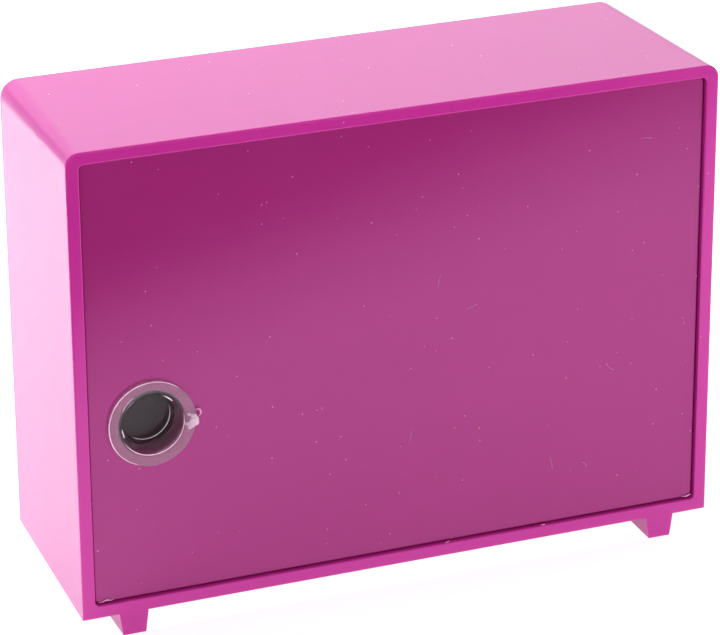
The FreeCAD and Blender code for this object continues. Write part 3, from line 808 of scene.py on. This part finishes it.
fibre = lint()
random.seed(11)
fibre_count = 7
fibre_steps = 12
for i in range(fibre_count):
    x = random.uniform(panel_low.x + 0.01, panel_high.x - 0.03)
    z = random.uniform(panel_low.z + 0.01, panel_high.z - 0.01)
    heading = random.uniform(0, math.pi)
    bend = random.uniform(-1.5, 1.5)
    length = random.uniform(1.6, 3.2) * MM
    path = []
    spot = Vector((x, panel_high.y + 0.04 * MM, z))
    for j in range(fibre_steps + 1):
        path.append(spot.copy())
        heading += bend / fibre_steps
        spot += Vector((math.cos(heading), 0, math.sin(heading))) * length / fibre_steps
    swept(f"fibre_{i + 1}", path, [0.03 * MM] * len(path), fibre, "housing")
print("fibres:", fibre_count)

# %% [markdown]
# ## Floor
# The safe stands on a pale floor in soft light. The floor and the cards are stage, not object.
# The paper glows white by its own emission, which also lights the safe from below; under the safe a
# painted shade takes that glow away.

# %% Floor
def floor_paper():
    """Matt white paper with the faint mottling of its fibres, glowing, with a painted shade under the
    safe.
    """
    material, tree, shader, place = start_material("pale_paper")
    fibre = add(tree, "ShaderNodeTexNoise", {"Vector": place, "Scale": 1 / (3 * MM), "Detail": 3.0})
    tone = add(tree, "ShaderNodeMix", {
        MIX_FACTOR: fibre.outputs["Fac"],
        MIX_A: linear("CDCDCD"),
        MIX_B: linear("C9C9C9"),
    }, data_type="RGBA")
    tree.links.new(tone.outputs[MIX_COLOUR], shader.inputs["Base Color"])
    shader.inputs["Roughness"].default_value = 0.9
    shader.inputs["Specular IOR Level"].default_value = 0.0
    shader.inputs["Emission Color"].default_value = (1.0, 1.0, 1.0, 1.0)
    # Painted shade: the glow fades to nothing under the safe's footprint.
    reach = add(tree, "ShaderNodeVectorMath", {0: place}, operation="ABSOLUTE")
    half = [(high - low) / 2 for low, high in zip(*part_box("housing_shell"))]
    past = add(tree, "ShaderNodeVectorMath", {
        0: reach.outputs[0],
        1: (half[0], half[1], 0.0),
    }, operation="SUBTRACT")
    sides = add(tree, "ShaderNodeSeparateXYZ", {0: past.outputs[0]})
    edge = add(tree, "ShaderNodeMath", {
        0: sides.outputs["X"],
        1: sides.outputs["Y"],
    }, operation="MAXIMUM")
    glow_with_painted_shade = add(tree, "ShaderNodeMapRange", {
        "Value": edge.outputs[0],
        "From Min": -16 * MM,
        "From Max": -5 * MM,
        "To Min": 0.0,
        "To Max": 0.72,
    }, interpolation_type="SMOOTHSTEP")
    tree.links.new(glow_with_painted_shade.outputs[0], shader.inputs["Emission Strength"])
    return material


def flat_sheet(name, corners, material):
    """A flat stage sheet from its four corners."""
    mesh = bpy.data.meshes.new(name)
    mesh.from_pydata(corners, [], [(0, 1, 2, 3)])
    mesh.materials.append(material)
    made = bpy.data.objects.new(name, mesh)
    bpy.context.scene.collection.objects.link(made)
    return made


half_floor = 4.0
floor_corners = [
    (-half_floor, -half_floor, 0),
    (half_floor, -half_floor, 0),
    (half_floor, half_floor, 0),
    (-half_floor, half_floor, 0),
]
flat_sheet("floor", floor_corners, floor_paper())
print("floor:", 2 * half_floor, "m square")

# %% [markdown]
# ## Camera
# A long lens stands behind the safe, to one side and a little above, and looks down at it. Three
# angles turn it: yaw round the upright, drop below the horizon, and a slight roll.

# %% Camera
yaw = math.radians(21.03)
drop = math.radians(23.148)
roll = math.radians(-0.42)
forward = Vector((-math.sin(yaw) * math.cos(drop), -math.cos(yaw) * math.cos(drop), -math.sin(drop)))
level = Vector((-math.cos(yaw), math.sin(yaw), 0))
upright = level.cross(forward)
right = level * math.cos(roll) + upright * math.sin(roll)
up = upright * math.cos(roll) - level * math.sin(roll)
camera_data = bpy.data.cameras.new("camera")
camera_data.sensor_width = 36.0
camera_data.lens = 184.8
camera = bpy.data.objects.new("camera", camera_data)
bpy.context.scene.collection.objects.link(camera)
stand = Vector((256.3, 673.1, 356.5)) * MM
camera.matrix_world = Matrix(
    (
        (right.x, up.x, -forward.x, stand.x),
        (right.y, up.y, -forward.y, stand.y),
        (right.z, up.z, -forward.z, stand.z),
        (0, 0, 0, 1),
    )
)
bpy.context.scene.camera = camera
print("camera:", [round(v / MM) for v in stand], "mm")

# %% [markdown]
# ## Sky
# A white sky gives soft light without edges. It is dim behind the camera, so the panel that
# faces it stays deep in colour, and bright beyond the safe, where the top reflects it.

# %% Sky
world = bpy.data.worlds.new("studio")
bpy.context.scene.world = world
world.use_nodes = True
sky = world.node_tree
backdrop = sky.nodes["Background"]
backdrop.inputs["Color"].default_value = (1.0, 1.0, 1.0, 1.0)
direction = add(sky, "ShaderNodeTexCoord").outputs["Generated"]
axes = add(sky, "ShaderNodeSeparateXYZ", {0: direction})
behind = add(sky, "ShaderNodeMapRange", {
    "Value": axes.outputs["Y"],
    "From Min": -0.3,
    "From Max": -0.7,
}, interpolation_type="SMOOTHSTEP")
height = add(sky, "ShaderNodeMapRange", {
    "Value": axes.outputs["Z"],
    "From Min": 0.14,
    "From Max": 0.27,
    "To Min": 0.95,
    "To Max": 1.5,
}, interpolation_type="SMOOTHSTEP")
strength = add(sky, "ShaderNodeMix", {0: behind.outputs[0], 2: 0.46, 3: height.outputs[0]})
sky.links.new(strength.outputs[0], backdrop.inputs["Strength"])
print("sky: white, brightest beyond the safe")

# %% [markdown]
# ## Softboxes
# Three softboxes fill in: one whitens the floor beyond, one lies low and fills the rim and the
# feet, and one hangs overhead. None of them shows in reflections.

# %% Softbox
def softbox(name, place, aim, size, power, spread):
    """A square softbox that faces a point; spread is how wide it throws its light."""
    data = bpy.data.lights.new(name, "AREA")
    data.size = size
    data.energy = power
    data.spread = math.radians(spread)
    made = bpy.data.objects.new(name, data)
    made.location = place
    made.rotation_euler = (Vector(aim) - Vector(place)).to_track_quat("-Z", "Y").to_euler()
    bpy.context.scene.collection.objects.link(made)
    made.visible_glossy = False
    return made


softbox("floor_light_behind", (0.30, -0.30, 0.55), (0.16, -0.20, 0.0), 0.30, 1.0, 70)
softbox("low_fill", (-0.30, 0.40, 0.06), (-0.02, 0.03, 0.03), 0.20, 0.35, 120)
softbox("overhead", (0.0, 0.0, 1.0), (0.0, 0.0, 0.1), 0.60, 2.0, 160)
bpy.context.scene.view_settings.view_transform = "Standard"
print("light: the sky and three softboxes")

# %% [markdown]
# ## Cards
# Cards laid around a glossy object shape its reflections. A card that fades to dark lies on the
# floor on the camera's side and is seen only in reflections, which darkens the panel towards its
# top. A white card lies under the safe and is seen only by the camera: painted light that covers
# the shade under the safe.

# %% Cards
def glowing_card(name, corners, glow_of):
    """A sheet that lights nothing; glow_of builds its strength in the given tree."""
    material = bpy.data.materials.new(name)
    material.use_nodes = True
    tree = material.node_tree
    tree.nodes.clear()
    place = add(tree, "ShaderNodeTexCoord").outputs["Object"]
    glow = add(tree, "ShaderNodeEmission", {"Strength": glow_of(tree, place)})
    add(tree, "ShaderNodeOutputMaterial", {"Surface": glow.outputs[0]})
    card = flat_sheet(name, corners, material)
    card.visible_diffuse = False
    card.visible_shadow = False
    card.visible_transmission = False
    return card


def fading(tree, place):
    """Bright at the near edge, nearly dark 70 mm further on."""
    axis = add(tree, "ShaderNodeSeparateXYZ", {0: place})
    level = add(tree, "ShaderNodeMapRange", {
        "Value": axis.outputs["X"],
        "From Min": 0.0,
        "From Max": 70 * MM,
        "To Min": 1.15,
        "To Max": 0.05,
    }, interpolation_type="SMOOTHSTEP")
    return level.outputs[0]


def painted_light_glow(tree, place):
    """Painted light: white all over, with the faint unevenness of paper."""
    grain = add(tree, "ShaderNodeTexNoise", {"Vector": place, "Scale": 1 / (20 * MM)})
    level = add(tree, "ShaderNodeMapRange", {
        "Value": grain.outputs["Fac"],
        "To Min": 0.99,
        "To Max": 1.03,
    })
    return level.outputs[0]


reach = 500 * MM
side = 450 * MM
card_corners = [(0, -side, 0), (reach, -side, 0), (reach, side, 0), (0, side, 0)]
dark_card = glowing_card("dark_card", card_corners, fading)
turn = Matrix.Rotation(math.radians(65.2), 4, "Z")
dark_card.matrix_world = Matrix.Translation(Vector((10, 150, 1.5)) * MM) @ turn
dark_card.visible_camera = False
under_low, under_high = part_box("housing_shell")
under = [
    (under_low.x, under_low.y, 0),
    (under_high.x, under_low.y, 0),
    (under_high.x, under_high.y, 0),
    (under_low.x, under_high.y, 0),
]
# Painted light: the camera sees this glowing white card instead of the shade under the safe.
painted_light_card = glowing_card("painted_light_card", under, painted_light_glow)
painted_light_card.location.z = 0.1 * MM
painted_light_card.visible_glossy = False
print("cards: a dark one for reflections, a white one under the object for the camera")
